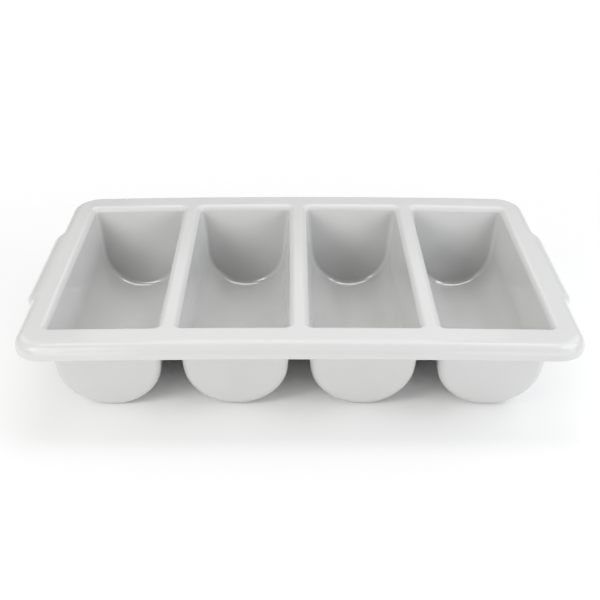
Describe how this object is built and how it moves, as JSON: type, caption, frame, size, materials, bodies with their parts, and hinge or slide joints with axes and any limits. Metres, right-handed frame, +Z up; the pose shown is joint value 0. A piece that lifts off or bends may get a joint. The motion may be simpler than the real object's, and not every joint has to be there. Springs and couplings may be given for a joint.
{
  "type": "cutlery bin",
  "caption": "Open one-piece plastic bin with side-by-side half-round troughs that sort cutlery, a rounded rim with a short skirt, and a hand grip at each end.",
  "frame": {"origin": "under the middle of the bin, on the surface that its troughs stand on", "axes": "+X along the bin from grip to grip, -Y towards the front long side, +Z up"},
  "size_m": [0.53, 0.325, 0.099],
  "materials": {
    "grey_polypropylene": "semi-gloss moulded surface, light neutral grey"
  },
  "bodies": {
    "root": {"bin_moulding": "grey_polypropylene"}
  },
  "joints": []
}
